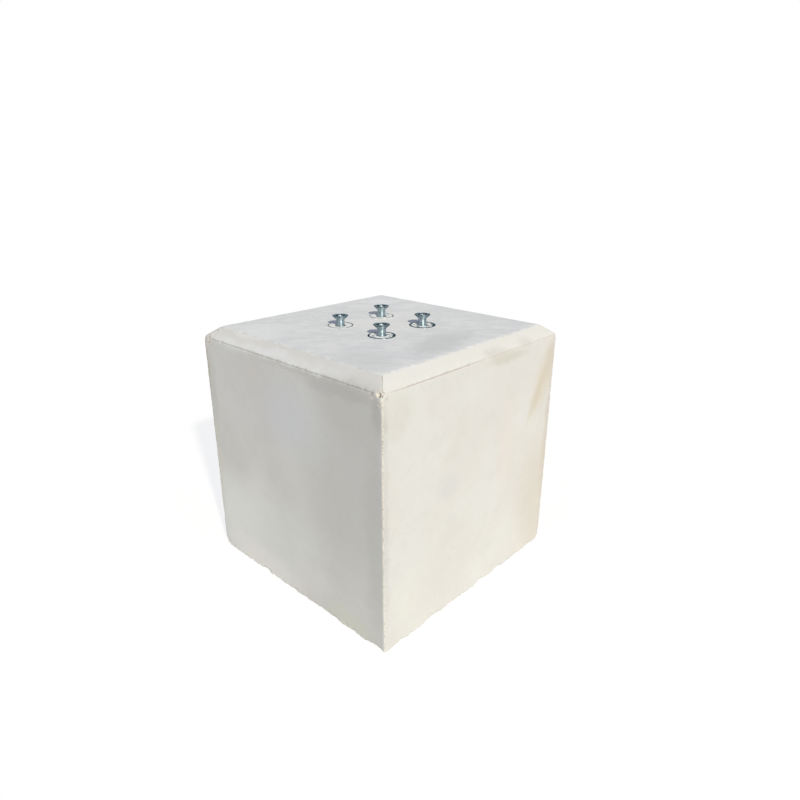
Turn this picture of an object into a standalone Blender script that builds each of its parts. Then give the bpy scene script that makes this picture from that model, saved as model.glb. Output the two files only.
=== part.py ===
"""Cast concrete pier block: a chamfered cube with four threaded sockets set flush in its top.

A countersunk screw with a hexagon socket stands part way out of each threaded socket.
Metres, +Z up, origin at the middle of the block's underside.
"""

import math

import bmesh
import bpy
from mathutils import Matrix, Vector, noise

# Concrete casting
BLOCK_WIDTH = 0.500
BLOCK_DEPTH = 0.500
BLOCK_HEIGHT = 0.500
CHAMFER_INSET = 0.026
CHAMFER_DROP = 0.020

# Arrises: rounded by the mould, worn along their length, and ragged round the open side of the mould
ARRIS_RADIUS = 0.0025
ARRIS_STATION = 0.024
ARRIS_REACH = 0.0038
MOULD_ARRIS_WEAR = 0.0015
OPEN_ARRIS_WEAR = 0.0050
WEAR_PATCH = 0.035
FLAT_ANGLE = math.radians(0.05)

# Knocked corners: place as signs of X and Y with a height, then the bite's half sizes in X, Y and Z
CHIPS = {
    "front_top": ((-1, -1), BLOCK_HEIGHT - CHAMFER_DROP, (0.007, 0.015, 0.026)),
    "left_top": ((-1, 1), BLOCK_HEIGHT - CHAMFER_DROP, (0.006, 0.012, 0.008)),
    "right_foot": ((1, -1), 0.0, (0.014, 0.010, 0.013)),
    "left_foot": ((-1, 1), 0.0, (0.007, 0.009, 0.012)),
}
CHIP_ROUGHNESS = 0.18
CHIP_LUMPS = 2.0

# Pattern of the four fastening points, square about the middle of the top
SOCKET_SPACING = 0.115

# Countersunk screw
SCREW_DIAMETER = 0.016
SCREW_LENGTH = 0.070
HEAD_DIAMETER = 0.0315
HEAD_RIM = 0.0008
HEAD_CONE_ANGLE = math.radians(90)
KEY_SIDES = 6
KEY_ACROSS_FLATS = 0.010
KEY_DEPTH = 0.0053
KEY_FLOOR_ANGLE = math.radians(120)
SCREW_POINT_CHAMFER = 0.0015

# How far each screw's head stands above the top of the block
STANDOUT = {"front": 0.0212, "right": 0.0216, "left": 0.0203, "back": 0.0218}

# Threaded socket with a nailing flange, cast in flush with the top
SOCKET_LENGTH = 0.075
SOCKET_WALL = 0.0030
SOCKET_FLOOR = 0.0040
MOUTH_CHAMFER = 0.0010
FLANGE_DIAMETER = 0.053
FLANGE_THICKNESS = 0.0030
RIM_BEAD_WIDTH = 0.0040
RIM_BEAD_RISE = 0.0008
FOOT_DIAMETER = 0.030
FOOT_THICKNESS = 0.0060
NAIL_HOLE_DIAMETER = 0.0045
NAIL_CIRCLE_DIAMETER = 0.034
NAIL_CIRCLE_START = math.radians(45)
NAIL_HOLES = 4

# Gap left between meshes that touch on the real block
FIT_GAP = 0.0003

# Facets round a turned piece, and the angle past which an edge stays sharp
TURNED_STEPS = 36
BEAD_STEPS = 4
NAIL_HOLE_STEPS = 12
SHARP_ANGLE = math.radians(30)

PLACES = {"front": (-1, -1), "right": (1, -1), "left": (-1, 1), "back": (1, 1)}


def clear_scene():
    for old in list(bpy.data.objects):
        bpy.data.objects.remove(old, do_unlink=True)


def new_collection(name):
    collection = bpy.data.collections.new(name)
    bpy.context.scene.collection.children.link(collection)
    return collection


def principled(name, color, roughness, metallic):
    material = bpy.data.materials.new(name)
    material.use_nodes = True
    shader = material.node_tree.nodes["Principled BSDF"]
    shader.inputs["Base Color"].default_value = (*color, 1.0)
    shader.inputs["Roughness"].default_value = roughness
    shader.inputs["Metallic"].default_value = metallic
    return material


def new_object(name, mesh, collection, place=(0.0, 0.0, 0.0)):
    thing = bpy.data.objects.new(name, mesh)
    thing.location = place
    collection.objects.link(thing)
    return thing


def mesh_from(bm, name):
    mesh = bpy.data.meshes.new(name)
    bm.to_mesh(mesh)
    bm.free()
    return mesh


def turned(name, profile, collection):
    """An object that turns a profile of (radius, height) points about Z."""
    mesh = bpy.data.meshes.new(name)
    points = [(radius, 0.0, height) for radius, height in profile]
    edges = [(i, i + 1) for i in range(len(points) - 1)]
    mesh.from_pydata(points, edges, [])
    thing = new_object(name, mesh, collection)
    screw = thing.modifiers.new("Turn", "SCREW")
    screw.steps = TURNED_STEPS
    screw.render_steps = TURNED_STEPS
    screw.use_merge_vertices = True
    screw.merge_threshold = 0.00001
    return thing


def subtract(target, cutters):
    """Cut every object of the collection of cutters out of target."""
    cut = target.modifiers.new("Cut", "BOOLEAN")
    cut.operation = "DIFFERENCE"
    cut.operand_type = "COLLECTION"
    cut.collection = cutters
    cut.solver = "EXACT"


def baked_mesh(source, name):
    """The mesh that source's modifiers give, with source itself removed."""
    graph = bpy.context.evaluated_depsgraph_get()
    mesh = bpy.data.meshes.new_from_object(source.evaluated_get(graph))
    mesh.name = name
    bpy.data.objects.remove(source, do_unlink=True)
    return mesh


def hide_cutters(collection):
    for cutter in collection.objects:
        cutter.hide_render = True
        cutter.display_type = "WIRE"


def pattern_place(key, height=0.0):
    side_x, side_y = PLACES[key]
    half = SOCKET_SPACING / 2
    return Vector((side_x * half, side_y * half, height))


# Turned profiles, each from its top down its outer side

def bore_radius():
    return SCREW_DIAMETER / 2 + FIT_GAP


def tube_radius():
    return bore_radius() + SOCKET_WALL


def bead_arc():
    """The rounded bead round the flange's rim, from its inner foot over the top to the rim."""
    half = RIM_BEAD_WIDTH / 2
    centre = FLANGE_DIAMETER / 2 - half
    arc = []
    for i in range(BEAD_STEPS + 1):
        angle = math.pi * (1 - i / BEAD_STEPS)
        arc.append((centre + half * math.cos(angle), RIM_BEAD_RISE * math.sin(angle)))
    return arc


def socket_profile():
    """Up the bore from its floor, out over the flange, then down the outside to the foot."""
    bore = bore_radius()
    foot_top = FOOT_THICKNESS - SOCKET_LENGTH
    return [
        (0.0, SOCKET_FLOOR - SOCKET_LENGTH),
        (bore, SOCKET_FLOOR - SOCKET_LENGTH),
        (bore, -MOUTH_CHAMFER),
        (bore + MOUTH_CHAMFER, 0.0),
        *bead_arc(),
        (FLANGE_DIAMETER / 2, -FLANGE_THICKNESS),
        (tube_radius(), -FLANGE_THICKNESS),
        (tube_radius(), foot_top),
        (FOOT_DIAMETER / 2, foot_top),
        (FOOT_DIAMETER / 2, -SOCKET_LENGTH),
        (0.0, -SOCKET_LENGTH),
    ]


def pocket_profile():
    """The space that the socket takes up in the concrete, open at the top."""
    flange = FLANGE_DIAMETER / 2 + FIT_GAP
    tube = tube_radius() + FIT_GAP
    foot = FOOT_DIAMETER / 2 + FIT_GAP
    foot_top = FOOT_THICKNESS - SOCKET_LENGTH + FIT_GAP
    return [
        (0.0, FLANGE_THICKNESS),
        (flange, FLANGE_THICKNESS),
        (flange, -FLANGE_THICKNESS - FIT_GAP),
        (tube, -FLANGE_THICKNESS - FIT_GAP),
        (tube, foot_top),
        (foot, foot_top),
        (foot, -SOCKET_LENGTH - FIT_GAP),
        (0.0, -SOCKET_LENGTH - FIT_GAP),
    ]


def screw_profile():
    """Flat head top at height 0, rim, countersunk cone, shank and chamfered point."""
    head = HEAD_DIAMETER / 2
    shank = SCREW_DIAMETER / 2
    cone_height = (head - shank) / math.tan(HEAD_CONE_ANGLE / 2)
    return [
        (0.0, 0.0),
        (head, 0.0),
        (head, -HEAD_RIM),
        (shank, -HEAD_RIM - cone_height),
        (shank, SCREW_POINT_CHAMFER - SCREW_LENGTH),
        (shank - SCREW_POINT_CHAMFER, -SCREW_LENGTH),
        (0.0, -SCREW_LENGTH),
    ]


# The casting

def inside_skin(point):
    """How far point lies inside the X skin, the Y skin and the underside."""
    above_side = max(0.0, point.z - (BLOCK_HEIGHT - CHAMFER_DROP))
    leaned_in = CHAMFER_INSET * above_side / CHAMFER_DROP
    return Vector((
        BLOCK_WIDTH / 2 - leaned_in - abs(point.x),
        BLOCK_DEPTH / 2 - leaned_in - abs(point.y),
        point.z,
    ))


def wear_arris(point):
    """Where a point of a rounded arris lies once worn.

    A point on a flat skin slides within that skin, and one between two skins moves into both.
    """
    depth = inside_skin(point)
    near = [axis for axis in range(3) if depth[axis] < ARRIS_REACH]
    total = sum(max(0.0, depth[axis]) for axis in near)
    if len(near) < 2 or total == 0.0:
        return point
    most = OPEN_ARRIS_WEAR if 2 in near else MOULD_ARRIS_WEAR
    wear = most * (1 + noise.noise(point / WEAR_PATCH)) / 2
    moved = point.copy()
    for axis in near:
        inward = 1.0 if axis == 2 else -math.copysign(1.0, point[axis])
        moved[axis] += inward * wear * max(0.0, depth[axis]) / total
    return moved


def cut_stations(bm, length, middle, axis):
    """Cut the mesh across at even stations along one axis."""
    count = round(length / ARRIS_STATION)
    normal = Vector((0.0, 0.0, 0.0))
    normal[axis] = 1.0
    for i in range(1, count):
        place = Vector((0.0, 0.0, 0.0))
        place[axis] = middle + length * (i / count - 0.5)
        everything = bm.verts[:] + bm.edges[:] + bm.faces[:]
        bmesh.ops.bisect_plane(bm, geom=everything, plane_co=place, plane_no=normal)


def cast_body():
    """The cube with its top chamfered and its arrises rounded and worn."""
    side_height = BLOCK_HEIGHT - CHAMFER_DROP
    bm = bmesh.new()
    size = Matrix.Diagonal((BLOCK_WIDTH, BLOCK_DEPTH, side_height, 1.0))
    bmesh.ops.create_cube(bm, size=1.0, matrix=Matrix.Translation((0, 0, side_height / 2)) @ size)
    top = [face for face in bm.faces if face.normal.z > 0.9]
    raised = bmesh.ops.extrude_discrete_faces(bm, faces=top)["faces"]
    shrink = Vector((
        1 - 2 * CHAMFER_INSET / BLOCK_WIDTH,
        1 - 2 * CHAMFER_INSET / BLOCK_DEPTH,
        1.0,
    ))
    for face in raised:
        bmesh.ops.scale(bm, vec=shrink, verts=face.verts)
        bmesh.ops.translate(bm, vec=(0, 0, CHAMFER_DROP), verts=face.verts)
    bmesh.ops.bevel(
        bm, geom=bm.edges[:], offset=ARRIS_RADIUS, offset_type="OFFSET",
        segments=2, profile=0.5, affect="EDGES",
    )
    cut_stations(bm, BLOCK_WIDTH, 0.0, 0)
    cut_stations(bm, BLOCK_DEPTH, 0.0, 1)
    cut_stations(bm, side_height, side_height / 2, 2)
    for vert in bm.verts:
        vert.co = wear_arris(vert.co)
    bmesh.ops.dissolve_limit(bm, angle_limit=FLAT_ANGLE, verts=bm.verts[:], edges=bm.edges[:])
    return mesh_from(bm, "casting")


def chip_mesh(name, place, half_sizes):
    """A lumpy ellipsoid the size of the bite that was knocked out of a corner, unlike at each place."""
    bm = bmesh.new()
    bmesh.ops.create_icosphere(bm, subdivisions=2, radius=1.0)
    for vert in bm.verts:
        vert.co *= 1 + CHIP_ROUGHNESS * noise.noise(CHIP_LUMPS * vert.co + place / WEAR_PATCH)
    bmesh.ops.scale(bm, vec=half_sizes, verts=bm.verts[:])
    return mesh_from(bm, name)


def make_block(parts, cutters):
    for name, ((side_x, side_y), height, half_sizes) in CHIPS.items():
        place = Vector((side_x * BLOCK_WIDTH / 2, side_y * BLOCK_DEPTH / 2, height))
        new_object("chip_" + name, chip_mesh(name, place, half_sizes), cutters, place)
    for key in PLACES:
        pocket = turned("pocket_" + key, pocket_profile(), cutters)
        pocket.location = pattern_place(key, BLOCK_HEIGHT)
    block = new_object("concrete_block", cast_body(), parts)
    subtract(block, cutters)
    return block


# The fittings

def socket_mesh(parts, cutters):
    """One turned socket with its ring of nail holes through the flange."""
    for i in range(NAIL_HOLES):
        angle = NAIL_CIRCLE_START + 2 * math.pi * i / NAIL_HOLES
        radius = NAIL_CIRCLE_DIAMETER / 2
        bm = bmesh.new()
        bmesh.ops.create_cone(
            bm, cap_ends=True, segments=NAIL_HOLE_STEPS, depth=4 * FLANGE_THICKNESS,
            radius1=NAIL_HOLE_DIAMETER / 2, radius2=NAIL_HOLE_DIAMETER / 2,
        )
        place = (radius * math.cos(angle), radius * math.sin(angle), -FLANGE_THICKNESS / 2)
        new_object(f"nail_hole_{i + 1}", mesh_from(bm, "nail_hole"), cutters, place)
    socket = turned("socket", socket_profile(), parts)
    subtract(socket, cutters)
    return baked_mesh(socket, "socket")


def screw_mesh(parts, cutters):
    """One turned screw with a hexagon key socket that ends in a drilled cone."""
    corner = KEY_ACROSS_FLATS / 2 / math.cos(math.pi / KEY_SIDES)
    bm = bmesh.new()
    bmesh.ops.create_cone(
        bm, cap_ends=True, segments=KEY_SIDES, radius1=corner, radius2=corner, depth=2 * KEY_DEPTH,
    )
    new_object("key_hexagon", mesh_from(bm, "key_hexagon"), cutters)
    drill = KEY_ACROSS_FLATS / 2 - FIT_GAP
    floor_depth = drill / math.tan(KEY_FLOOR_ANGLE / 2)
    drilled = [
        (0.0, 0.0),
        (drill, 0.0),
        (drill, -KEY_DEPTH),
        (0.0, -KEY_DEPTH - floor_depth),
    ]
    turned("key_drilling", drilled, cutters)
    screw = turned("screw", screw_profile(), parts)
    subtract(screw, cutters)
    return baked_mesh(screw, "screw")


def finish(thing, material, root):
    thing.data.materials.clear()
    thing.data.materials.append(material)
    thing.parent = root


def shade_round(mesh):
    mesh.shade_smooth()
    mesh.set_sharp_from_angle(angle=SHARP_ANGLE)


def main():
    clear_scene()
    parts = new_collection("concrete_pier_block")
    block_cutters = new_collection("block_cutters")
    socket_cutters = new_collection("socket_cutters")
    screw_cutters = new_collection("screw_cutters")

    root = new_object("pier_block", None, parts)
    concrete = principled("cast_concrete", (0.62, 0.61, 0.57), 0.9, 0.0)
    socket_steel = principled("socket_zinc", (0.50, 0.56, 0.60), 0.45, 1.0)
    screw_steel = principled("screw_zinc", (0.52, 0.62, 0.68), 0.3, 1.0)

    finish(make_block(parts, block_cutters), concrete, root)

    socket = socket_mesh(parts, socket_cutters)
    screw = screw_mesh(parts, screw_cutters)
    shade_round(socket)
    shade_round(screw)
    for key in PLACES:
        place = pattern_place(key, BLOCK_HEIGHT)
        finish(new_object("socket_" + key, socket, parts, place), socket_steel, root)
        place = pattern_place(key, BLOCK_HEIGHT + STANDOUT[key])
        finish(new_object("screw_" + key, screw, parts, place), screw_steel, root)

    for collection in (block_cutters, socket_cutters, screw_cutters):
        hide_cutters(collection)


main()
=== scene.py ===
import math

import bpy
import numpy as np
from mathutils import Matrix, Quaternion, Vector


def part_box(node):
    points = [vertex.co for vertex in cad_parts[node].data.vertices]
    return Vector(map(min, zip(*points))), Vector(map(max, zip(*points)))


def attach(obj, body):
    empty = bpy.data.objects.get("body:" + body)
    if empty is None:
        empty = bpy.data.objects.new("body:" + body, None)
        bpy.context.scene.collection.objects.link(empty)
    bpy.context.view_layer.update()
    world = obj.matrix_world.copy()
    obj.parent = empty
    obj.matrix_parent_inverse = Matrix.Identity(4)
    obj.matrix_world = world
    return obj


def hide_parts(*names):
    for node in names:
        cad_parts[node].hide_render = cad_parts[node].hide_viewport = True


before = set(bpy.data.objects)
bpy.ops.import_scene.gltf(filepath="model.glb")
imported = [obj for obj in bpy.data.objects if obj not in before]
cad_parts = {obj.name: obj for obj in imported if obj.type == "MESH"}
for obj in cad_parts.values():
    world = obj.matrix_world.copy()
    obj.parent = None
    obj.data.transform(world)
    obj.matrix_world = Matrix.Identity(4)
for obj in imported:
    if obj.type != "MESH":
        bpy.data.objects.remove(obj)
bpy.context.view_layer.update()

# The fastenings' places come from the frame
places = ("front", "right", "left", "back")
blockLow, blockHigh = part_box("concrete_block")
blockTop = blockHigh.z
boltAxis = {}
headTop = {}
for place in places:
    low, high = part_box("screw_" + place)
    boltAxis[place] = (low + high) / 2
    headTop[place] = high.z


def deselectAll():
    if bpy.context.object and bpy.context.object.mode != "OBJECT":
        bpy.ops.object.mode_set(mode="OBJECT")
    bpy.ops.object.select_all(action="DESELECT")


def makeActive(piece):
    deselectAll()
    piece.select_set(True)
    bpy.context.view_layer.objects.active = piece


def selectFaces(piece, test):
    # leaves the piece in edit mode with only the faces that pass the test selected
    makeActive(piece)
    bpy.ops.object.mode_set(mode="EDIT")
    bpy.ops.mesh.select_mode(type="FACE")
    bpy.ops.mesh.select_all(action="DESELECT")
    bpy.ops.object.mode_set(mode="OBJECT")
    for face in piece.data.polygons:
        face.select = test(face)
    bpy.ops.object.mode_set(mode="EDIT")


def applyModifiers(piece):
    makeActive(piece)
    for name in [modifier.name for modifier in piece.modifiers]:
        bpy.ops.object.modifier_apply(modifier=name)


def addModifier(piece, kind, **settings):
    modifier = piece.modifiers.new(kind.title(), kind)
    for name, value in settings.items():
        setattr(modifier, name, value)
    return modifier


def combine(piece, others, operation):
    # others are used up, as when Apply and Delete are pressed by hand
    for other in others:
        addModifier(piece, "BOOLEAN", operation=operation, solver="EXACT", object=other)
    applyModifiers(piece)
    for other in others:
        bpy.data.objects.remove(other, do_unlink=True)


def pointOutwards(piece):
    makeActive(piece)
    bpy.ops.object.mode_set(mode="EDIT")
    bpy.ops.mesh.select_all(action="SELECT")
    bpy.ops.mesh.remove_doubles(threshold=0.000002)
    bpy.ops.mesh.normals_make_consistent(inside=False)
    bpy.ops.object.mode_set(mode="OBJECT")


def turnPiece(name, profile, steps, hollow=False):
    # A lathe: a disc is extruded ring by ring along (radius, height) points, and its last face closes it.
    # A hollow one starts from a bare circle, and its last ring meets its first
    deselectAll()
    radius, height = profile[0]
    bpy.ops.mesh.primitive_circle_add(
        vertices=steps, radius=radius, fill_type="NOTHING" if hollow else "NGON", location=(0, 0, height),
    )
    piece = bpy.context.object
    piece.name = name
    bpy.ops.object.transform_apply(location=True)
    bpy.ops.object.mode_set(mode="EDIT")
    bpy.ops.mesh.select_mode(type="VERT")
    bpy.ops.mesh.select_all(action="SELECT")
    for nextRadius, nextHeight in profile[1:] + profile[:1] * hollow:
        bpy.ops.mesh.extrude_region_move(TRANSFORM_OT_translate={"value": (0, 0, nextHeight - height)})
        share = nextRadius / radius
        bpy.ops.transform.resize(value=(share, share, 1), center_override=(0, 0, nextHeight))
        radius, height = nextRadius, nextHeight
    bpy.ops.object.mode_set(mode="OBJECT")
    pointOutwards(piece)
    return piece


def moveMesh(piece, offset):
    piece.data.transform(Matrix.Translation(offset))
    return piece


def copyPiece(piece, name, offset):
    twin = piece.copy()
    twin.data = piece.data.copy()
    twin.name = name
    bpy.context.scene.collection.objects.link(twin)
    return moveMesh(twin, offset)


def shadeRound(piece, degrees):
    makeActive(piece)
    bpy.ops.object.shade_smooth_by_angle(angle=math.radians(degrees))


def cloudTexture(name, size, depth, contrast=1.0, brightness=1.0):
    texture = bpy.data.textures.new(name, "CLOUDS")
    texture.noise_scale = size
    texture.noise_depth = depth
    texture.contrast = contrast
    texture.intensity = brightness
    texture.use_clamp = True                      # so that it runs from 0 to 1
    return texture


# Small building blocks for materials

def linear(hexColour, alpha=1.0):
    values = [int(hexColour[i:i + 2], 16) / 255 for i in (1, 3, 5)]
    return [v / 12.92 if v <= 0.04045 else ((v + 0.055) / 1.055) ** 2.4 for v in values] + [alpha]


def addNode(tree, kind, inputs=None, **settings):
    node = tree.nodes.new("ShaderNode" + kind)
    for name, value in settings.items():
        setattr(node, name, value)
    for key, value in (inputs or {}).items():
        if isinstance(value, bpy.types.NodeSocket):
            tree.links.new(value, node.inputs[key])
        else:
            node.inputs[key].default_value = value
    return node


def newMaterial(name):
    material = bpy.data.materials.new(name)
    material.use_nodes = True
    tree = material.node_tree
    shader = tree.nodes["Principled BSDF"]
    return material, tree, shader


def direction(heading, height):
    # one metre long; degrees round from +X, then up
    heading, height = math.radians(heading), math.radians(height)
    level = math.cos(height)
    return Vector((math.cos(heading) * level, math.sin(heading) * level, math.sin(height)))


# Camera: the photograph's own viewpoint, solved from the block's edges. Its heading and lookDown are in degrees
camera = {
    "place": (-0.8465, -0.8457, 0.7892),
    "heading": 43.20,
    "lookDown": 20.56,
    "roll": 0.09,
    "lens": 27.60,
    "sensor": 36.0,
}


def makeCamera():
    data = bpy.data.cameras.new("camera")
    data.lens = camera["lens"]
    data.sensor_width = camera["sensor"]
    data.clip_start = 0.01
    data.clip_end = 50.0
    eye = bpy.data.objects.new("camera", data)
    ahead = direction(camera["heading"], -camera["lookDown"])
    turn = ahead.to_track_quat("-Z", "Y") @ Quaternion((0, 0, 1), math.radians(camera["roll"]))
    eye.rotation_euler = turn.to_euler()
    eye.location = camera["place"]
    bpy.context.scene.collection.objects.link(eye)
    bpy.context.scene.camera = eye


makeCamera()
print("camera set")


# The casting: a cube with a chamfered top, worn and chipped arrises and a ragged foot
casting = {
    "chamferInset": 0.026,
    "chamferDrop": 0.020,
    "arrisRadius": 0.0023,
    "remeshStep": 0.0017,
    "mostTriangles": 188000,
    "blowholes": 9,
    "arrisBlowholes": 20,
    "blowholeRadius": 0.0008,
    "blowholeSpread": 0.0009,
}

# Knocks: middle of the bite, its half sizes and its turn about Z in degrees
knocks = {
    "frontTop": ((-0.2520, -0.2440, 0.4795), (0.0056, 0.0110, 0.0066), 0),
    "frontTopBelow": ((-0.2515, -0.2520, 0.4715), (0.0050, 0.0062, 0.0100), 25),
    "frontTopLow": ((-0.2520, -0.2520, 0.4560), (0.0036, 0.0042, 0.0110), 10),
    "leftTop": ((-0.251, 0.251, 0.480), (0.0045, 0.0100, 0.0060), 0),
    "rightFoot": ((0.252, -0.252, 0.004), (0.0130, 0.0090, 0.0260), 20),
    "leftFoot": ((-0.252, 0.252, 0.006), (0.0080, 0.0090, 0.0200), -30),
    "footStep": ((-0.251, 0.096, 0.000), (0.0050, 0.0090, 0.0055), 0),
    "footDent": ((-0.251, 0.058, 0.000), (0.0040, 0.0150, 0.0035), 0),
    "footDentLong": ((-0.252, -0.120, 0.000), (0.0040, 0.0260, 0.0018), 0),
    "rightFootDent": ((-0.070, -0.251, 0.000), (0.0120, 0.0040, 0.0040), 0),
    "rightFootDentTwo": ((0.022, -0.251, 0.000), (0.0200, 0.0040, 0.0045), 0),
    "rightFootDentThree": ((0.085, -0.251, 0.000), (0.0090, 0.0040, 0.0030), 0),
    "backFootDent": ((0.090, 0.251, 0.000), (0.0180, 0.0040, 0.0040), 0),
    "farFootDent": ((0.251, 0.040, 0.000), (0.0040, 0.0220, 0.0040), 0),
    "farTop": ((0.250, 0.250, 0.480), (0.0050, 0.0070, 0.0060), 15),
}


# Wear: the vertex group it acts on, then its texture's name, size, depth, contrast and brightness, and how deep
# it goes at most. Every depth is negative and each texture runs from 0 to 1, so it only ever goes inwards
wear = [
    ("arris", "arrisWear", 0.016, 3, 2.2, 0.70, -0.0012),
    ("arris", "arrisCrumbs", 0.0052, 2, 2.6, 0.75, -0.0015),
    ("foot", "footRagged", 0.036, 2, 3.0, 0.80, -0.0040),
    ("foot", "footCrumbs", 0.0090, 2, 3.0, 0.55, -0.0020),
    ("", "skinWaves", 0.090, 1, 1.0, 1.00, -0.0004),
]


def skinDepths(points):
    # How far each point lies inside the sides, the chamfer, the top and the underside
    halfX, halfY = blockHigh.x, blockHigh.y
    inset, drop = casting["chamferInset"], casting["chamferDrop"]
    length = math.hypot(inset, drop)
    sideX = halfX - np.abs(points[:, 0])
    sideY = halfY - np.abs(points[:, 1])
    below = blockTop - drop - points[:, 2]
    chamferX = (sideX * drop + below * inset) / length
    chamferY = (sideY * drop + below * inset) / length
    return np.stack([sideX, sideY, chamferX, chamferY, blockTop - points[:, 2], points[:, 2]])


def pointsOf(piece):
    points = np.empty(len(piece.data.vertices) * 3)
    piece.data.vertices.foreach_get("co", points)
    return points.reshape(-1, 3)


def paintGroup(piece, name, weights):
    group = piece.vertex_groups.new(name=name)
    for step in range(1, 21):
        chosen = np.nonzero(np.round(weights * 20) == step)[0]
        group.add(chosen.tolist(), step / 20, "REPLACE")


def makeKnock(name, place, halfSizes, degrees):
    deselectAll()
    bpy.ops.mesh.primitive_ico_sphere_add(subdivisions=4, radius=1.0)
    bite = bpy.context.object
    bite.name = name
    bite.scale = halfSizes
    bite.rotation_euler.z = math.radians(degrees)
    bite.location = place
    bpy.ops.object.transform_apply(location=True, rotation=True, scale=True)
    addModifier(
        bite, "DISPLACE", texture=cloudTexture(name, 0.0050, 2, 1.6), texture_coords="LOCAL",
        strength=min(halfSizes), mid_level=0.5,
    )
    applyModifiers(bite)
    return bite


def makeBlankCasting():
    deselectAll()
    inset, drop = casting["chamferInset"], casting["chamferDrop"]
    size = blockHigh - blockLow
    bpy.ops.mesh.primitive_cube_add(size=1.0, location=(0, 0, (size.z - drop) / 2))
    block = bpy.context.object
    block.name = "castBlock"
    block.scale = (size.x, size.y, size.z - drop)
    bpy.ops.object.transform_apply(location=True, scale=True)
    selectFaces(block, lambda face: face.normal.z > 0.9)
    bpy.ops.mesh.extrude_region_move(TRANSFORM_OT_translate={"value": (0, 0, drop)})
    bpy.ops.transform.resize(value=(1 - 2 * inset / size.x, 1 - 2 * inset / size.y, 1))
    bpy.ops.mesh.select_all(action="SELECT")
    bpy.ops.mesh.bevel(offset=casting["arrisRadius"], segments=3, affect="EDGES")
    bpy.ops.object.mode_set(mode="OBJECT")
    return block


def weather(block):
    points = pointsOf(block)
    depths = skinDepths(points)
    sideX, sideY = depths[0], depths[1]
    depths.sort(axis=0)                           # depths[1] is now the distance to the nearest arris
    fromUpright = np.maximum(sideX, sideY)
    fromFoot = np.maximum(points[:, 2], np.minimum(sideX, sideY))
    # the upright arrises are worn, those round the top only a little
    atCorner = np.exp(-(fromUpright / 0.020) ** 2) * (points[:, 2] < blockTop - casting["chamferDrop"] + 0.003)
    paintGroup(block, "arris", np.exp(-(depths[1] / 0.0025) ** 2) * (0.08 + 0.92 * atCorner))
    paintGroup(block, "foot", np.exp(-(fromFoot / 0.007) ** 2))
    # the form leaves no sharp arris, and the remesh leaves steps there, so they are smoothed before they wear
    paintGroup(block, "rounded", np.exp(-(depths[1] / 0.0040) ** 2))
    addModifier(block, "SMOOTH", factor=0.5, iterations=2, vertex_group="rounded")
    for group, name, size, depth, contrast, brightness, strength in wear:
        addModifier(
            block, "DISPLACE", texture=cloudTexture(name, size, depth, contrast, brightness),
            texture_coords="LOCAL", strength=strength, mid_level=0.0, vertex_group=group,
        )
    applyModifiers(block)


def roughenBreaks(block):
    # Inside the knocks the mortar broke round its sand grains
    points = pointsOf(block)
    depths = skinDepths(points)
    atKnock = (np.maximum(depths[0], depths[1]) < 0.028) & (points[:, 2] > 0.012)
    paintGroup(block, "broken", np.clip((depths.min(axis=0) - 0.0018) / 0.0010, 0, 1) * atKnock)
    addModifier(
        block, "DISPLACE", texture=cloudTexture("brokenMortar", 0.0042, 2, 3.5, 0.9),
        texture_coords="LOCAL", strength=-0.0015, mid_level=0.0, vertex_group="broken",
    )
    applyModifiers(block)


def makeBlowholes(block):
    # Round holes left by trapped air, thicker along the arrises: one cutter of small balls
    random = np.random.default_rng(17)
    points = pointsOf(block)
    depths = skinDepths(points)
    depths.sort(axis=0)
    onSkin = np.nonzero((depths[0] < 0.0005) & (points[:, 2] > 0.006))[0]
    nearArris = onSkin[(depths[1][onSkin] > 0.0035) & (depths[1][onSkin] < 0.010)]
    deselectAll()
    balls = []
    middles = [random.choice(onSkin, casting["blowholes"]), random.choice(nearArris, casting["arrisBlowholes"])]
    for middle in np.concatenate(middles):
        radius = casting["blowholeRadius"] + casting["blowholeSpread"] * random.random() ** 2
        bpy.ops.mesh.primitive_ico_sphere_add(subdivisions=2, radius=radius, location=points[middle])
        balls.append(bpy.context.object)
    for ball in balls:
        ball.select_set(True)
    bpy.ops.object.join()
    return bpy.context.object


def makePocket(place):
    # The room that a socket takes up in the casting
    low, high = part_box("socket_" + place)
    gap = 0.0003
    flange = (high.x - low.x) / 2 + gap
    deep = high.z - low.z - socket["beadRise"]
    tube = socket["tubeRadius"] + gap
    foot = socket["footRadius"] + gap
    ledge = -socket["flangeThick"] - gap
    footTop = socket["footThick"] - deep + gap
    pocket = turnPiece("pocket", [
        (flange, 0.004), (flange, ledge), (tube, ledge), (tube, footTop), (foot, footTop), (foot, -deep - gap),
    ], 72)
    return moveMesh(pocket, (boltAxis[place].x, boltAxis[place].y, blockTop))


def makeCasting():
    block = makeBlankCasting()
    combine(block, [makeKnock(name, *knock) for name, knock in knocks.items()], "DIFFERENCE")
    step = casting["remeshStep"] * 1
    addModifier(block, "REMESH", mode="VOXEL", voxel_size=step)
    applyModifiers(block)
    print("casting remeshed:", len(block.data.polygons), "faces")
    weather(block)
    roughenBreaks(block)
    blowholes = makeBlowholes(block)
    triangles = 2 * len(block.data.polygons)
    addModifier(block, "DECIMATE", ratio=min(1.0, casting["mostTriangles"] / triangles))
    applyModifiers(block)
    points = pointsOf(block)
    points = np.clip(points, np.array(blockLow), np.array(blockHigh))
    block.data.vertices.foreach_set("co", points.ravel())
    combine(block, [blowholes] + [makePocket(place) for place in places], "DIFFERENCE")
    pointOutwards(block)
    block.vertex_groups.clear()
    shadeRound(block, 50)
    print("casting done:", len(block.data.polygons), "faces")
    return block


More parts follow.
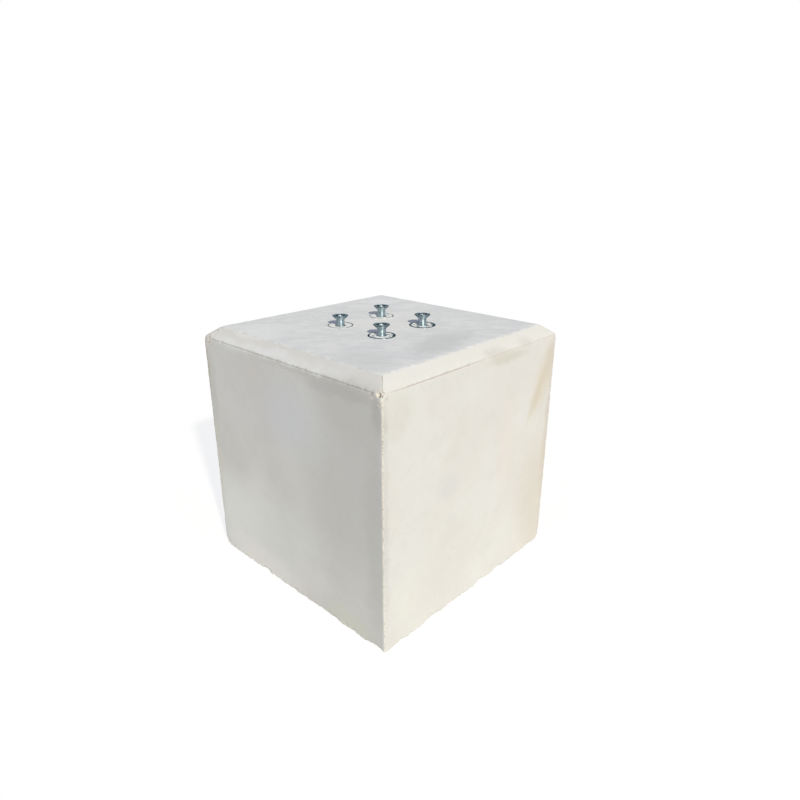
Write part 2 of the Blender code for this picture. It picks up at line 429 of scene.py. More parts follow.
# Threaded socket with its nailing flange, cast in flush with the top
socket = {
    "boreRadius": 0.0083,
    "tubeRadius": 0.0113,
    "floorThick": 0.004,
    "mouthChamfer": 0.001,
    "flangeThick": 0.003,
    "beadWidth": 0.004,
    "beadRise": 0.0008,
    "footRadius": 0.015,
    "footThick": 0.006,
    "nailRadius": 0.00225,
    "nailCircle": 0.017,
    "nails": 4,
}


def makeNailDrill(degrees):
    radius, circle, angle = socket["nailRadius"], socket["nailCircle"], math.radians(degrees)
    drill = turnPiece("drill", [(radius + 0.0015, 0.0011), (radius, -0.0006), (radius, -0.005)], 32)
    return moveMesh(drill, (circle * math.cos(angle), circle * math.sin(angle), 0))


def makeSocket():
    low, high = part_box("socket_front")
    rim = (high.x - low.x) / 2
    deep = high.z - low.z - socket["beadRise"]
    bore, tube, foot = socket["boreRadius"], socket["tubeRadius"], socket["footRadius"]
    half = socket["beadWidth"] / 2
    bead = []
    for i in range(13):
        angle = math.pi * (1 - i / 12)
        bead.append((rim - half + half * math.cos(angle), socket["beadRise"] * math.sin(angle)))
    piece = turnPiece("socket", [
        (bore, socket["floorThick"] - deep),
        (bore, -socket["mouthChamfer"]),
        (bore + socket["mouthChamfer"], 0.0),
        (bore + 0.004, -0.0002),
        (rim - 2 * half - 0.001, -0.0002),
        *bead,
        (rim, -socket["flangeThick"]),
        (tube, -socket["flangeThick"]),
        (tube, socket["footThick"] - deep),
        (foot, socket["footThick"] - deep),
        (foot, -deep),
    ], 96)
    drills = [makeNailDrill(45 + 360 * i / socket["nails"]) for i in range(socket["nails"])]
    combine(piece, drills, "DIFFERENCE")
    shadeRound(piece, 30)
    return piece


# Countersunk screw with a hexagon socket, M16
screw = {
    "shankRadius": 0.008,
    "rimHeight": 0.0008,
    "edge": 0.00025,
    "keyFlats": 0.010,
    "keyDepth": 0.0053,
    # radius of the head's inner ring that is painted dark, as a painted reflection
    "reflectionRing": 0.0100,
    "plainLength": 0.026,
    "pitch": 0.002,
    "threadRoot": 0.00677,
    "pointChamfer": 0.0015,
}


def makeThread(length):
    # One ridge wound down the shank, trimmed to the shank's own outline
    root, crest, pitch = screw["threadRoot"], screw["shankRadius"], screw["pitch"]
    start = -screw["plainLength"]
    deselectAll()
    bpy.ops.mesh.primitive_circle_add(vertices=4, radius=0.001)
    thread = bpy.context.object
    thread.name = "thread"
    inner, outer = root - 0.0002, crest + 0.0001
    atRoot, atCrest = 0.00098, 0.0001             # half the ridge's height there
    section = [(inner, atRoot), (outer, atCrest), (outer, -atCrest), (inner, -atRoot)]
    for point, (radius, height) in zip(thread.data.vertices, section):
        point.co = (radius, 0, start + height)
    turns = math.ceil((length - screw["plainLength"]) / pitch) + 1
    addModifier(
        thread, "SCREW", steps=36, render_steps=36, screw_offset=-pitch, iterations=turns,
        use_merge_vertices=False,
    )
    applyModifiers(thread)
    bpy.ops.object.mode_set(mode="EDIT")
    bpy.ops.mesh.select_all(action="SELECT")
    bpy.ops.mesh.fill_holes(sides=0)
    bpy.ops.object.mode_set(mode="OBJECT")
    pointOutwards(thread)
    outline = turnPiece("outline", [
        (root - 0.001, start + 0.001), (crest, start - 0.0005),
        (crest, screw["pointChamfer"] - length), (crest - screw["pointChamfer"], -length),
    ], 72)
    combine(thread, [outline], "INTERSECT")
    return thread


def makeScrew():
    low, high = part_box("screw_front")
    length = high.z - low.z
    head = (high.x - low.x) / 2
    shank, rim, edge = screw["shankRadius"], screw["rimHeight"], screw["edge"]
    cone = rim + head - shank
    fillet = 0.0009
    piece = turnPiece("screw", [
        (screw["reflectionRing"], 0.0),
        (head - edge, 0.0), (head - 0.3 * edge, -0.3 * edge), (head, -edge),
        (head, edge - rim), (head - 0.4 * edge, -rim), (head - 2 * edge, -rim - 1.7 * edge),
        (shank + fillet, fillet - cone), (shank + 0.3 * fillet, 0.1 * fillet - cone),
        (shank, -cone - 0.9 * fillet),
        (shank, -screw["plainLength"]),
        (screw["threadRoot"], -screw["plainLength"] - 0.001),
        (screw["threadRoot"], 0.0003 - length), (screw["threadRoot"] - 0.0003, -length),
    ], 96)
    combine(piece, [makeThread(length)], "UNION")
    corner = screw["keyFlats"] / 2 / math.cos(math.pi / 6)
    deselectAll()
    bpy.ops.mesh.primitive_cylinder_add(vertices=6, radius=corner, depth=2 * screw["keyDepth"])
    hexagon = bpy.context.object
    bpy.ops.object.mode_set(mode="EDIT")
    bpy.ops.mesh.select_all(action="SELECT")
    bpy.ops.mesh.bevel(offset=0.0002, segments=2, affect="EDGES")
    bpy.ops.object.mode_set(mode="OBJECT")
    leadIn = turnPiece("leadIn", [(corner + 0.0016, 0.0005), (corner - 0.0009, -0.0009)], 48)
    drill = screw["keyFlats"] / 2 - 0.0003
    drilled = turnPiece("drilled", [
        (drill, -0.001), (drill, -screw["keyDepth"]), (0.0002, -screw["keyDepth"] - drill / math.sqrt(3)),
    ], 48)
    combine(piece, [hexagon, leadIn, drilled], "DIFFERENCE")
    shadeRound(piece, 30)
    return piece


def markHeadReflection(piece, place):
    # the rim and the ring round the key socket take the second material, painted dark all over: a painted
    # reflection
    low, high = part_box("screw_" + place)
    rim = (high.x - low.x) / 2 - 2 * screw["edge"]
    for face in piece.data.polygons:
        fromAxis = (face.center - boltAxis[place]).xy.length
        ring = fromAxis < screw["reflectionRing"] and face.normal.z > 0.5
        if face.center.z > high.z - 0.0013 and (ring or fromAxis > rim):
            face.material_index = 1


# Cement paste that ran over the flanges: its inner and outer radius, how far it is smeared over the bead at
# its back, the width of its slopes down to the shank and to the top, how lumpy it is, how much it covers, its
# level inside the bead, and the nail holes left open in it, in degrees
paste = {
    "front": {
        "inner": 0.0092, "outer": 0.0232, "smear": 0.0060, "thick": 0.0008, "slope": 0.001, "fade": 0.004,
        "lumps": 3.0, "cover": 1.15, "level": 0.65, "open": (135, 315),
    },
    "right": {
        "inner": 0.0092, "outer": 0.0230, "smear": 0.0045, "thick": 0.0008, "slope": 0.001, "fade": 0.004,
        "lumps": 3.0, "cover": 1.05, "level": 0.65, "open": (135, 315),
    },
    "left": {
        "inner": 0.0088, "outer": 0.0340, "smear": 0.0, "thick": 0.0008, "slope": 0.008, "fade": 0.008,
        "lumps": 1.6, "cover": 1.30, "level": 1.0, "open": (),
    },
    "back": {
        "inner": 0.0086, "outer": 0.0340, "smear": 0.0, "thick": 0.0008, "slope": 0.008, "fade": 0.008,
        "lumps": 1.6, "cover": 1.40, "level": 1.0, "open": (),
    },
}


def makePaste(place):
    facts = paste[place]
    inner, outer = facts["inner"], facts["outer"]
    under = 0.0004                                # it starts this far down and shows where it is thick
    rings = 32
    reach = outer + facts["smear"]
    profile = [(inner, -2 * under)]
    profile += [(inner + (reach - inner) * i / rings, -under) for i in range(rings + 1)]
    profile += [(reach, -2 * under)]
    piece = turnPiece("paste_" + place, profile, 144, hollow=True)
    moveMesh(piece, (boltAxis[place].x, boltAxis[place].y, blockTop))
    points = pointsOf(piece)
    across, along = points[:, 0] - boltAxis[place].x, points[:, 1] - boltAxis[place].y
    fromAxis = np.hypot(across, along)
    upper = points[:, 2] > blockTop - 1.5 * under
    back = np.clip(2 * np.cos(np.arctan2(along, across) - math.radians(75)), 0, 1)
    edge = outer + facts["smear"] * back
    share = np.clip(np.minimum((fromAxis - inner) / facts["slope"], (edge - fromAxis) / facts["fade"]), 0, 1)
    share *= facts["level"] + (1 - facts["level"]) * back * (fromAxis > outer - facts["fade"])
    paintGroup(piece, "upper", share * upper)
    addModifier(
        piece, "DISPLACE", texture=cloudTexture(piece.name, 0.0075, 3, facts["lumps"], facts["cover"]),
        texture_coords="LOCAL", direction="Z", strength=facts["thick"] + under, mid_level=0.0,
        vertex_group="upper",
    )
    applyModifiers(piece)
    piece.vertex_groups.clear()
    holes = [makeNailDrill(degrees) for degrees in facts["open"]]
    for hole in holes:
        moveMesh(hole, (boltAxis[place].x, boltAxis[place].y, blockTop))
    combine(piece, holes, "DIFFERENCE")
    shadeRound(piece, 60)
    return piece


# Concrete, cast against smooth steel forms: a matt cement skin, faintly clouded, with fine sand in it.
# The dried paste is the same cement with less sand, and greyer. Each has three tones: plain, paler and duller
concrete = {
    "skins": ("#C1BFBD", "#C3C3C1", "#BCBBB9"),
    "pasteSkins": ("#CECECE", "#C9C8C7", "#BFBFBE"),
    "chamfer": "#CFCECC",
    "trowelled": "#DFE0E0",
    "trowelledDark": "#D6D8DA",
    "crumbled": "#CCC7BE",
    "crumbledDark": "#8C8579",
    "arrisDarkTone": "#9F988B",
    # dark grime, also the colour of the painted shadow line under the left lip
    "lineGrimeAndShade": "#7E796F",
    "redGrime": "#9A8982",
    "sandLight": "#DCDAD4",
    "sandDark": "#8F8B83",
    "cloud": 0.130,
    "mottle": 0.034,
    "brokenEdge": 0.011,
    "floatStroke": 0.018,
    "grain": 0.0012,                              # sand, about twice as coarse as it is, so that it shows
    "bareSand": 0.0042,                           # the same where the skin is gone, in clumps that show
}

# The faces as seen in the photograph: the axis that each one crosses, and which way it faces along it
faces = {"left": (0, -1), "right": (1, -1), "top": (2, 1), "far": (0, 1), "back": (1, 1)}

# Marks: middle and half size in the face (across then up, or along X then Y on the top), turn in degrees,
# colour, strength
marks = {
    "left": [
        # painted shade: darker under the chamfer, towards the near arris
        ((-0.190, 0.440), (0.140, 0.090), 0, "#B2B2AF", 0.6),
        ((-0.150, 0.463), (0.130, 0.020), 0, "#A9A8A6", 0.55),
        ((-0.238, 0.445), (0.018, 0.050), 0, "#A5A4A2", 0.6),
        ((-0.060, 0.474), (0.230, 0.009), 0, "#ADADA9", 0.4),
        ((-0.236, 0.230), (0.042, 0.280), 0, "#A7A7A4", 0.45),
        ((-0.160, 0.270), (0.150, 0.230), 0, "#B4B4B2", 0.6),
        ((0.236, 0.360), (0.022, 0.140), 0, "#B3B2AE", 0.45),
        ((0.105, 0.150), (0.090, 0.110), 0, "#D0CFCD", 0.6),
        ((0.0, 0.494), (0.300, 0.018), 0, "#DADDE2", 0.6),
        ((0.110, 0.492), (0.200, 0.026), 0, "#DDE0E4", 0.5),
        # painted light: paler low down and towards the far arris, where light from the floor falls
        ((0.190, 0.095), (0.120, 0.140), 0, "#D1D3D0", 0.8),
        ((0.110, 0.025), (0.200, 0.060), 0, "#D2D1CE", 0.8),
        ((0.030, 0.120), (0.170, 0.120), 0, "#CACDCA", 0.5),
        ((-0.010, 0.380), (0.120, 0.100), 0, "#C1C3C8", 0.6),
        ((-0.055, 0.060), (0.080, 0.045), 0, "#CAC8C6", 0.5),
        ((-0.160, 0.020), (0.090, 0.040), 0, "#C2C5B9", 0.6),
        # rust-brown along the far arris
        ((0.245, 0.430), (0.008, 0.070), 0, "#AFA898", 0.6),
        ((0.240, 0.200), (0.018, 0.150), 0, "#C6C5B9", 0.5),
    ],
    "right": [
        # form oil that ran down by the far arris
        ((0.212, 0.390), (0.046, 0.110), 26, "#BBB2A4", 0.65),
        ((0.192, 0.365), (0.022, 0.082), 26, "#B4AB99", 0.5),
        ((0.232, 0.430), (0.024, 0.060), 10, "#B4ACA0", 0.5),
        ((0.243, 0.250), (0.016, 0.260), 0, "#B3ABA2", 0.6),
        ((0.225, 0.130), (0.120, 0.240), 0, "#B9B1A6", 0.5),
        # smudges under the chamfer
        ((0.080, 0.468), (0.090, 0.016), 0, "#B2B0A7", 0.65),
        ((-0.215, 0.440), (0.050, 0.060), 0, "#BBB6B0", 0.4),
        ((-0.084, 0.266), (0.044, 0.036), 0, "#B9BBBB", 0.65),
        ((-0.075, 0.190), (0.030, 0.020), 0, "#BCBDBA", 0.6),
        ((-0.070, 0.345), (0.028, 0.070), 38, "#BEBCB7", 0.5),
        ((-0.060, 0.170), (0.070, 0.030), -25, "#BEBCB8", 0.5),
        ((0.090, 0.270), (0.040, 0.190), 4, "#C5BDB8", 0.35),
        ((-0.190, 0.090), (0.060, 0.070), 0, "#C6C5C1", 0.5),
        ((-0.045, 0.244), (0.055, 0.005), -15, "#C8C5BF", 0.3),
        ((0.040, 0.486), (0.050, 0.016), 0, "#ADAAA6", 0.4),
        ((0.140, 0.489), (0.036, 0.016), 0, "#AFACA8", 0.35),
        ((-0.130, 0.492), (0.080, 0.016), 0, "#C7C4BF", 0.4),
    ],
    "top": [
        ((-0.020, -0.170), (0.140, 0.060), 12, "#C9CACB", 0.75),
        ((-0.190, -0.150), (0.075, 0.090), 0, "#D0D1D2", 0.7),
        ((-0.195, 0.130), (0.050, 0.080), 0, "#E6E7E8", 0.6),
        ((0.165, 0.168), (0.055, 0.055), 0, "#E8E8EB", 0.6),
        ((-0.140, -0.095), (0.022, 0.060), 42, "#D2D4D9", 0.6),
        # painted light: a paler patch in the middle of the top, between the screws
        ((0.010, 0.010), (0.120, 0.120), 0, "#E8E7E3", 0.35),
    ],
    "far": [
        ((0.090, 0.330), (0.120, 0.090), 0, "#BAB9B8", 0.6),
        ((-0.110, 0.120), (0.100, 0.110), 0, "#C6C7C6", 0.5),
        ((0.180, 0.440), (0.030, 0.060), 0, "#BBB4A8", 0.6),
    ],
    "back": [
        ((0.090, 0.140), (0.130, 0.080), 0, "#C6C7C6", 0.5),
        ((-0.120, 0.360), (0.090, 0.100), 0, "#B9B8B8", 0.6),
        ((-0.030, 0.470), (0.190, 0.010), 0, "#ADAAA5", 0.5),
    ],
}

# Where the skin is rubbed through without a real knock: the middle, and how far it reaches
crumbly = [
    ((-0.246, 0.238, 0.483), 0.034),
    ((-0.250, -0.238, 0.474), 0.021),
    ((0.250, 0.250, 0.480), 0.020),
]


def mixColour(tree, share, under, over, blend="MIX"):
    mixed = addNode(tree, "Mix", data_type="RGBA", blend_type=blend)
    for slot, value in ((0, share), (6, under), (7, over)):
        if isinstance(value, bpy.types.NodeSocket):
            tree.links.new(value, mixed.inputs[slot])
        else:
            mixed.inputs[slot].default_value = value
    return mixed.outputs[2]


def between(tree, value, low, high, toLow=0.0, toHigh=1.0):
    spread = addNode(tree, "MapRange", {
        "Value": value, "From Min": low, "From Max": high, "To Min": toLow, "To Max": toHigh,
    }, interpolation_type="SMOOTHSTEP")
    return spread.outputs["Result"]


def calculate(tree, operation, first, second=0.0):
    return addNode(tree, "Math", {0: first, 1: second}, operation=operation).outputs[0]


def noiseAt(tree, vector, size, detail=2.0, roughness=0.5, distortion=0.0):
    # size in metres from one soft blotch to the next
    found = addNode(tree, "TexNoise", {
        "Vector": vector, "Scale": 1 / size, "Detail": detail, "Roughness": roughness, "Distortion": distortion,
    })
    return found.outputs["Fac"]


def markMask(tree, wobbled, face, middle, reach, degrees):
    # 1 in the middle of a soft oval on one of the faces, 0 at its rim
    axis, side = faces[face]
    place, size, turn = list(middle), list(reach), [0, 0, 0]
    place.insert(axis, blockHigh.z if face == "top" else side * blockHigh[axis])
    size.insert(axis, 0.02)
    turn[axis] = math.radians(degrees)
    placed = addNode(tree, "Mapping", {
        "Vector": wobbled, "Location": place, "Rotation": turn, "Scale": size,
    }, vector_type="TEXTURE")
    ball = addNode(tree, "TexGradient", {"Vector": placed.outputs[0]}, gradient_type="SPHERICAL")
    return between(tree, ball.outputs["Fac"], 0.0, 0.75)


def makeConcrete(name, skins):
    facts = concrete
    material, tree, shader = newMaterial(name)
    here = addNode(tree, "TexCoord").outputs["Object"]
    axis = addNode(tree, "SeparateXYZ", {0: here})
    facing = addNode(tree, "SeparateXYZ", {0: addNode(tree, "NewGeometry").outputs["Normal"]})
    x, z = axis.outputs[0], axis.outputs[2]
    sideX = calculate(tree, "SUBTRACT", blockHigh.x, calculate(tree, "ABSOLUTE", x))
    sideY = calculate(tree, "SUBTRACT", blockHigh.y, calculate(tree, "ABSOLUTE", axis.outputs[1]))
    nearestSide = calculate(tree, "MINIMUM", sideX, sideY)
    fromArris = calculate(tree, "MAXIMUM", sideX, sideY)
    clouds = noiseAt(tree, here, facts["cloud"], 3, 0.55, 0.4)
    mottle = noiseAt(tree, here, facts["mottle"], 5, 0.6, 0.8)
    speck = noiseAt(tree, here, facts["grain"] * 2.5, 2, 0.7)
    breakUp = noiseAt(tree, here, facts["brokenEdge"], 4, 0.65)

    # soft clouding, then finer mottling; the chamfer came out paler, and the top was floated by hand in strokes
    # that run straight across it from corner to corner
    colour = mixColour(tree, between(tree, clouds, 0.36, 0.64), linear(skins[0]), linear(skins[1]))
    colour = mixColour(tree, between(tree, mottle, 0.48, 0.70, 0, 0.45), colour, linear(skins[2]))
    sloping = between(tree, facing.outputs[2], 0.50, 0.75, 0, 0.8)
    colour = mixColour(tree, sloping, colour, linear(facts["chamfer"]))
    strokes = addNode(tree, "Mapping", {
        "Vector": here, "Rotation": (0, 0, math.radians(-45)), "Scale": (3.5, 1, 1),
    }, vector_type="TEXTURE")
    swept = noiseAt(tree, strokes.outputs[0], facts["floatStroke"], 4, 0.6, 0.5)
    floatMarks = between(tree, calculate(tree, "ADD", mottle, swept), 0.84, 1.16)
    floated = mixColour(tree, floatMarks, linear(facts["trowelled"]), linear(facts["trowelledDark"]))
    colour = mixColour(tree, between(tree, facing.outputs[2], 0.84, 0.92), colour, floated)

    # the marks wander a little, as stains do
    shift = addNode(tree, "TexNoise", {"Vector": here, "Scale": 1 / 0.05, "Detail": 3.0, "Roughness": 0.6})
    centred = addNode(tree, "VectorMath", {0: shift.outputs["Color"], 1: (0.5, 0.5, 0.5)}, operation="SUBTRACT")
    pushed = addNode(tree, "VectorMath", {0: centred.outputs[0], "Scale": 0.030}, operation="SCALE")
    wobbled = addNode(tree, "VectorMath", {0: here, 1: pushed.outputs[0]}, operation="ADD").outputs[0]
    for face in faces:
        for middle, reach, degrees, tone, strength in marks[face]:
            mask = markMask(tree, wobbled, face, middle, reach, degrees)
            colour = mixColour(tree, calculate(tree, "MULTIPLY", mask, strength), colour, linear(tone))

    # thin broken lines of grime where the form's parts met: under the chamfer, round its top and along the
    # foot;
    # the line under the chamfer on the shaded left face is painted shadow under the lip
    lip = blockTop - casting["chamferDrop"]
    belowLip = calculate(tree, "SUBTRACT", lip, z)
    fromLine = calculate(tree, "ABSOLUTE", calculate(tree, "SUBTRACT", belowLip, 0.0010))
    lipLine = between(tree, fromLine, 0.0002, 0.0013, 1, 0)
    lipLine = calculate(tree, "MULTIPLY", lipLine, between(tree, breakUp, 0.34, 0.52, 0.45, 1.0))
    awayFromCorner = between(tree, fromArris, 0.010, 0.020)
    lipLine = calculate(tree, "MULTIPLY", lipLine, awayFromCorner)
    # painted shadow: the dark line under the lip is drawn only on the left face, which is in shade
    shaded = between(tree, facing.outputs[0], -0.3, -0.7, 0.0, 0.6)
    colour = mixColour(tree, calculate(tree, "MULTIPLY", lipLine, shaded), colour, linear(facts["lineGrimeAndShade"]))
    fromRun = calculate(tree, "ABSOLUTE", calculate(tree, "SUBTRACT", x, -0.115))
    redRun = between(tree, fromRun, 0.045, 0.135, 0.75, 0.2)      # reddest some way from the near arris
    redRun = calculate(tree, "MULTIPLY", redRun, between(tree, facing.outputs[1], -0.3, -0.7))
    colour = mixColour(tree, calculate(tree, "MULTIPLY", lipLine, redRun), colour, linear(facts["redGrime"]))
    fromRim = calculate(tree, "SUBTRACT", nearestSide, casting["chamferInset"])
    rimLine = between(tree, calculate(tree, "ABSOLUTE", fromRim), 0.0004, 0.0016, 0.42, 0)
    rimLine = calculate(tree, "MULTIPLY", rimLine, between(tree, z, blockTop - 0.003, blockTop - 0.001))
    rimLine = calculate(tree, "MULTIPLY", rimLine, between(tree, breakUp, 0.36, 0.68))
    footLine = between(tree, z, 0.0015, 0.0050, 0.5, 0)
    footLine = calculate(tree, "MULTIPLY", footLine, between(tree, breakUp, 0.40, 0.60))
    lineGrimeAndShade = calculate(tree, "MAXIMUM", rimLine, footLine)
    # and along the ridge where two chamfers meet
    fromRidge = calculate(tree, "ABSOLUTE", calculate(tree, "SUBTRACT", sideX, sideY))
    ridgeLine = between(tree, fromRidge, 0.0006, 0.0022, 0.65, 0)
    ridgeLine = calculate(tree, "MULTIPLY", ridgeLine, between(tree, breakUp, 0.34, 0.60, 0.4, 1.0))
    ridgeLine = calculate(tree, "MULTIPLY", ridgeLine, between(tree, belowLip, 0.0, -0.002))
    ridgeLine = calculate(tree, "MULTIPLY", ridgeLine, between(tree, fromRim, 0.0, -0.001))
    lineGrimeAndShade = calculate(tree, "MAXIMUM", lineGrimeAndShade, ridgeLine)
    colour = mixColour(tree, lineGrimeAndShade, colour, linear(facts["lineGrimeAndShade"]))

    # wherever the skin has gone, crumbly and creamier mortar shows, with sand in it
    inset, drop = casting["chamferInset"], casting["chamferDrop"]
    length = math.hypot(inset, drop)
    underSlope = calculate(
        tree, "ADD", calculate(tree, "MULTIPLY", nearestSide, drop / length),
        calculate(tree, "MULTIPLY", belowLip, inset / length),
    )
    depth = calculate(tree, "MINIMUM", nearestSide, underSlope)
    fromTop = calculate(tree, "SUBTRACT", blockTop, z)
    depth = calculate(tree, "MINIMUM", depth, calculate(tree, "MINIMUM", fromTop, z))
    lost = between(tree, depth, 0.0009, 0.0018)
    nearArris = between(tree, fromArris, 0.016, 0.026, 1, 0)
    nearFoot = between(tree, z, 0.010, 0.020, 0.25, 0)
    lost = calculate(tree, "MULTIPLY", lost, calculate(tree, "MAXIMUM", nearArris, nearFoot))
    for middle, reach in crumbly:
        away = addNode(tree, "VectorMath", {0: here, 1: middle}, operation="DISTANCE").outputs["Value"]
        patch = between(tree, away, reach, reach * 0.4, 0, 0.8)
        patch = calculate(tree, "MULTIPLY", patch, between(tree, breakUp, 0.46, 0.56))
        lost = calculate(tree, "MAXIMUM", lost, patch)
    rubbed = between(tree, fromArris, 0.0012, 0.0036, 0.6, 0)
    rubbed = calculate(tree, "MULTIPLY", rubbed, between(tree, breakUp, 0.40, 0.52))
    sandy = between(tree, noiseAt(tree, here, facts["bareSand"], 2, 0.6), 0.55, 0.61)
    mortar = mixColour(tree, sandy, linear(facts["crumbled"]), linear(facts["crumbledDark"]))
    colour = mixColour(tree, calculate(tree, "MAXIMUM", lost, rubbed), colour, mortar)
    # the upright arrises turned away from the sun are a little darker and browner
    nearSun = calculate(tree, "ADD", x, axis.outputs[1])
    arrisDarkening = between(tree, fromArris, 0.0020, 0.0060, 0.7, 0)
    arrisDarkening = calculate(tree, "MULTIPLY", arrisDarkening, between(tree, mottle, 0.36, 0.60, 0.15, 1.0))
    arrisDarkening = calculate(tree, "MULTIPLY", arrisDarkening, between(tree, nearSun, -0.40, -0.30))
    colour = mixColour(tree, arrisDarkening, colour, linear(facts["arrisDarkTone"]))

    # sand grains in the skin, light and dark
    colour = mixColour(tree, between(tree, speck, 0.60, 0.80, 0, 0.16), colour, linear(facts["sandLight"]))
    colour = mixColour(tree, between(tree, speck, 0.40, 0.22, 0, 0.22), colour, linear(facts["sandDark"]))
    tree.links.new(colour, shader.inputs["Base Color"])

    # skin: sand-sized roughness, pinholes and the float's shallow ripples
    grain = noiseAt(tree, here, facts["grain"], 3, 0.7)
    ripple = noiseAt(tree, here, 0.020, 3, 0.5, 0.5)
    holes = addNode(tree, "TexVoronoi", {"Vector": here, "Scale": 1 / 0.013}, feature="F1")
    pinholes = between(tree, holes.outputs["Distance"], 0.02, 0.075, -1, 0)
    fine = addNode(tree, "Bump", {"Height": grain, "Strength": 0.35, "Distance": 0.0004})
    pitted = addNode(tree, "Bump", {
        "Height": pinholes, "Strength": 0.5, "Distance": 0.0006, "Normal": fine.outputs[0],
    })
    waved = addNode(tree, "Bump", {
        "Height": ripple, "Strength": 0.30, "Distance": 0.0010, "Normal": pitted.outputs[0],
    })
    tree.links.new(waved.outputs[0], shader.inputs["Normal"])
    tree.links.new(between(tree, mottle, 0.3, 0.7, 0.80, 0.93), shader.inputs["Roughness"])
    shader.inputs["Specular IOR Level"].default_value = 0.3
    return material


# Zinc plating with a blue passivation: a bright, cool metal. The turned surfaces stretch each highlight along
# the axis, and what faces up is painted dark: a painted reflection of dark surroundings
screwPlating = {
    "bright": "#BAC9D0",
    "blue": "#93A7B3",
    "darkReflection": "#1F2930",
    "upperDarkReflection": 0.40,
    "wholeDarkReflection": 0.0,
    "haze": "#B9C3C6",
    "hazeShare": 0.10,
    "rough": (0.46, 0.60),
    "edgeTint": "#8C979D",
    "patch": 0.006,
    "grain": 0.0010,
}
# the head's rim and the ring round its key socket, painted dark all over: a painted reflection of dark
# surroundings
headReflectionPlating = dict(screwPlating, upperDarkReflection=0.88, wholeDarkReflection=0.88, hazeShare=0.05)
# the flange's faces that turn up are painted dark as well: painted reflection
flangePlating = {
    "bright": "#92A6AF",
    "blue": "#71899A",
    "darkReflection": "#25323B",
    "upperDarkReflection": 0.75,
    "wholeDarkReflection": 0.0,
    "haze": "#A9B4B7",
    "hazeShare": 0.30,
    "rough": (0.44, 0.58),
    "edgeTint": "#8C979D",
    "patch": 0.005,
    "grain": 0.0012,
}
# the left and back flanges still have a wash of cement on them
washedPlating = dict(flangePlating, darkReflection="#5E676B", haze="#B9BCBB", hazeShare=0.85)


def makeZinc(name, facts):
    material, tree, shader = newMaterial(name)
    here = addNode(tree, "TexCoord").outputs["Object"]
    facing = addNode(tree, "SeparateXYZ", {0: addNode(tree, "NewGeometry").outputs["Normal"]})
    patch = noiseAt(tree, here, facts["patch"], 4, 0.6, 0.5)
    fine = noiseAt(tree, here, facts["grain"], 2, 0.6)
    colour = mixColour(tree, between(tree, patch, 0.38, 0.62), linear(facts["bright"]), linear(facts["blue"]))
    # painted reflection: what faces up is painted dark, as a mirror of dark surroundings would look
    upward = between(tree, facing.outputs[2], 0.55, 0.95)
    darkReflection = between(tree, patch, 0.28, 0.50, facts["upperDarkReflection"] * 0.8, facts["upperDarkReflection"])
    darkReflection = calculate(tree, "MAXIMUM", calculate(tree, "MULTIPLY", darkReflection, upward), facts["wholeDarkReflection"])
    colour = mixColour(tree, darkReflection, colour, linear(facts["darkReflection"]))
    haze = calculate(tree, "MULTIPLY", between(tree, fine, 0.50, 0.66), facts["hazeShare"])
    colour = mixColour(tree, haze, colour, linear(facts["haze"]))
    tree.links.new(colour, shader.inputs["Base Color"])
    shader.inputs["Metallic"].default_value = 0.92
    shader.inputs["Specular Tint"].default_value = linear(facts["edgeTint"])
    shader.inputs["Anisotropic"].default_value = 0.90
    shader.inputs["Anisotropic Rotation"].default_value = 0.25
    tree.links.new(between(tree, patch, 0.3, 0.7, *facts["rough"]), shader.inputs["Roughness"])
    bumped = addNode(tree, "Bump", {"Height": fine, "Strength": 0.12, "Distance": 0.0001})
    tree.links.new(bumped.outputs[0], shader.inputs["Normal"])
    return material


def dress(piece, materials, slotName, *nodes):
    piece.data.materials.clear()
    for material in materials:
        piece.data.materials.append(material)
    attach(piece, "root")
    if nodes:
        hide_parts(*nodes)


# Floor and light: plain and pale, with the sun-like lamp where the screws' shadows put it
studio = {
    "lampHeading": -113.5,
    "lampHeight": 32.5,
    "lampSpread": 2.5,
    "lampStrength": 3.69,
    "lampColour": "#FFFAE8",
    "skyStrength": 0.387,
    "skyColour": "#DAE3FF",
    "floorColour": "#F8F8F7",
    "floorWidth": 16,
    "floorGlow": 0.80,
    "glowStrength": 1.04,
}


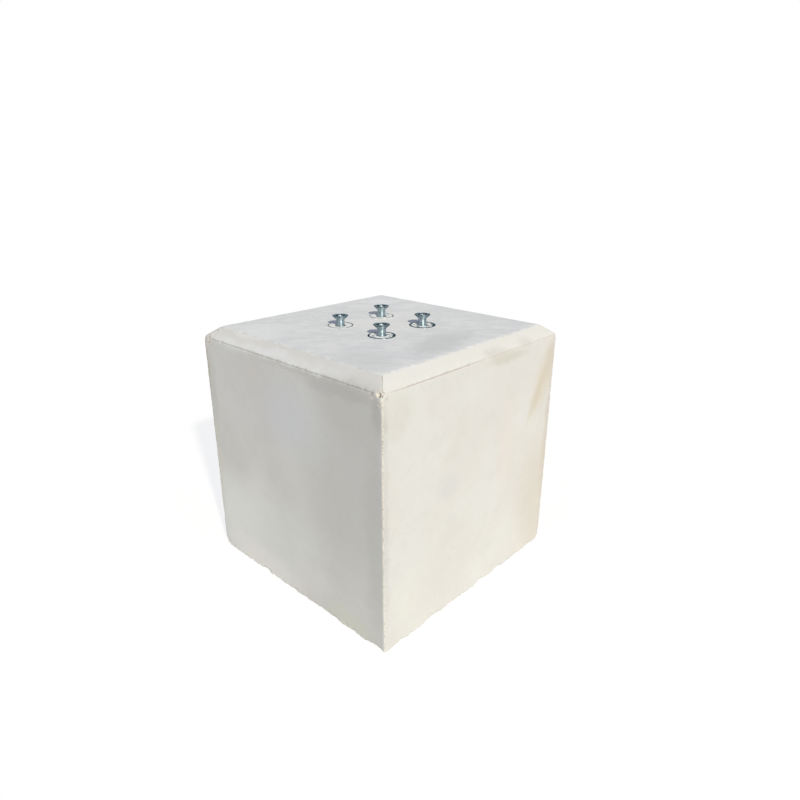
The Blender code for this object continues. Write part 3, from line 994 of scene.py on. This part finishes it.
def makeStudio():
    world = bpy.data.worlds.new("sky")
    bpy.context.scene.world = world
    world.use_nodes = True
    tree = world.node_tree
    tree.nodes.clear()
    # the light itself is a cool sky, while the camera and the steel see plain white round the block
    path = addNode(tree, "LightPath")
    seen = calculate(tree, "MAXIMUM", path.outputs["Is Camera Ray"], path.outputs["Is Glossy Ray"])
    seen = calculate(tree, "MAXIMUM", seen, path.outputs["Is Transmission Ray"])
    skyColour = linear(studio["skyColour"])
    ambient = addNode(tree, "Background", {"Color": skyColour, "Strength": studio["skyStrength"]})
    white = addNode(tree, "Background", {"Color": (1, 1, 1, 1), "Strength": 1.0})
    mixed = addNode(tree, "MixShader", {0: seen, 1: ambient.outputs[0], 2: white.outputs[0]})
    addNode(tree, "OutputWorld", {"Surface": mixed.outputs[0]})

    data = bpy.data.lights.new("softKey", "SUN")
    data.energy = studio["lampStrength"]
    data.angle = math.radians(studio["lampSpread"])
    data.color = linear(studio["lampColour"])[:3]
    lamp = bpy.data.objects.new("softKey", data)
    towards = direction(studio["lampHeading"], studio["lampHeight"])
    lamp.rotation_euler = towards.to_track_quat("Z", "Y").to_euler()
    lamp.location = towards * 3
    bpy.context.scene.collection.objects.link(lamp)

    deselectAll()
    bpy.ops.mesh.primitive_plane_add(size=studio["floorWidth"], location=(0, 0, 0))
    floor = bpy.context.object
    floor.name = "floor"
    material, tree, shader = newMaterial("palePaint")
    shader.inputs["Base Color"].default_value = linear(studio["floorColour"])
    shader.inputs["Roughness"].default_value = 0.9
    # for the camera alone the paint glows a little: it reads as white and still takes the block's shadow
    path = addNode(tree, "LightPath")
    glow = addNode(tree, "Emission", {"Color": (1, 1, 1, 1), "Strength": studio["glowStrength"]})
    seen = calculate(tree, "MULTIPLY", path.outputs["Is Camera Ray"], studio["floorGlow"])
    mixed = addNode(tree, "MixShader", {0: seen, 1: shader.outputs[0], 2: glow.outputs[0]})
    tree.links.new(mixed.outputs[0], tree.nodes["Material Output"].inputs["Surface"])
    floor.data.materials.append(material)


makeStudio()
print("studio lit")

concreteSkin = makeConcrete("fairFacedConcrete", concrete["skins"])
driedPaste = makeConcrete("driedCementPaste", concrete["pasteSkins"])
screwZinc = makeZinc("blueZincPlatedScrew", screwPlating)
headReflectionZinc = makeZinc("zincHeadPaintedReflection", headReflectionPlating)
flangeZinc = makeZinc("blueZincPlatedFlange", flangePlating)
washedZinc = makeZinc("cementWashedFlange", washedPlating)
print("materials mixed")

dress(makeCasting(), [concreteSkin], "cast_concrete", "concrete_block")

firstSocket = makeSocket()
firstScrew = makeScrew()
for place in places:
    x, y = boltAxis[place].x, boltAxis[place].y
    twin = copyPiece(firstSocket, "flangedSocket_" + place, (x, y, blockTop))
    bare = bool(paste[place]["open"])
    dress(twin, [flangeZinc if bare else washedZinc], "socket_zinc", "socket_" + place)
    twin = copyPiece(firstScrew, "countersunkScrew_" + place, (x, y, headTop[place]))
    dress(twin, [screwZinc, headReflectionZinc], "screw_zinc", "screw_" + place)
    markHeadReflection(twin, place)
    dress(makePaste(place), [driedPaste if bare else concreteSkin], "cast_concrete")
bpy.data.objects.remove(firstSocket, do_unlink=True)
bpy.data.objects.remove(firstScrew, do_unlink=True)
print("fittings placed")

bpy.context.scene.view_settings.view_transform = "Standard"
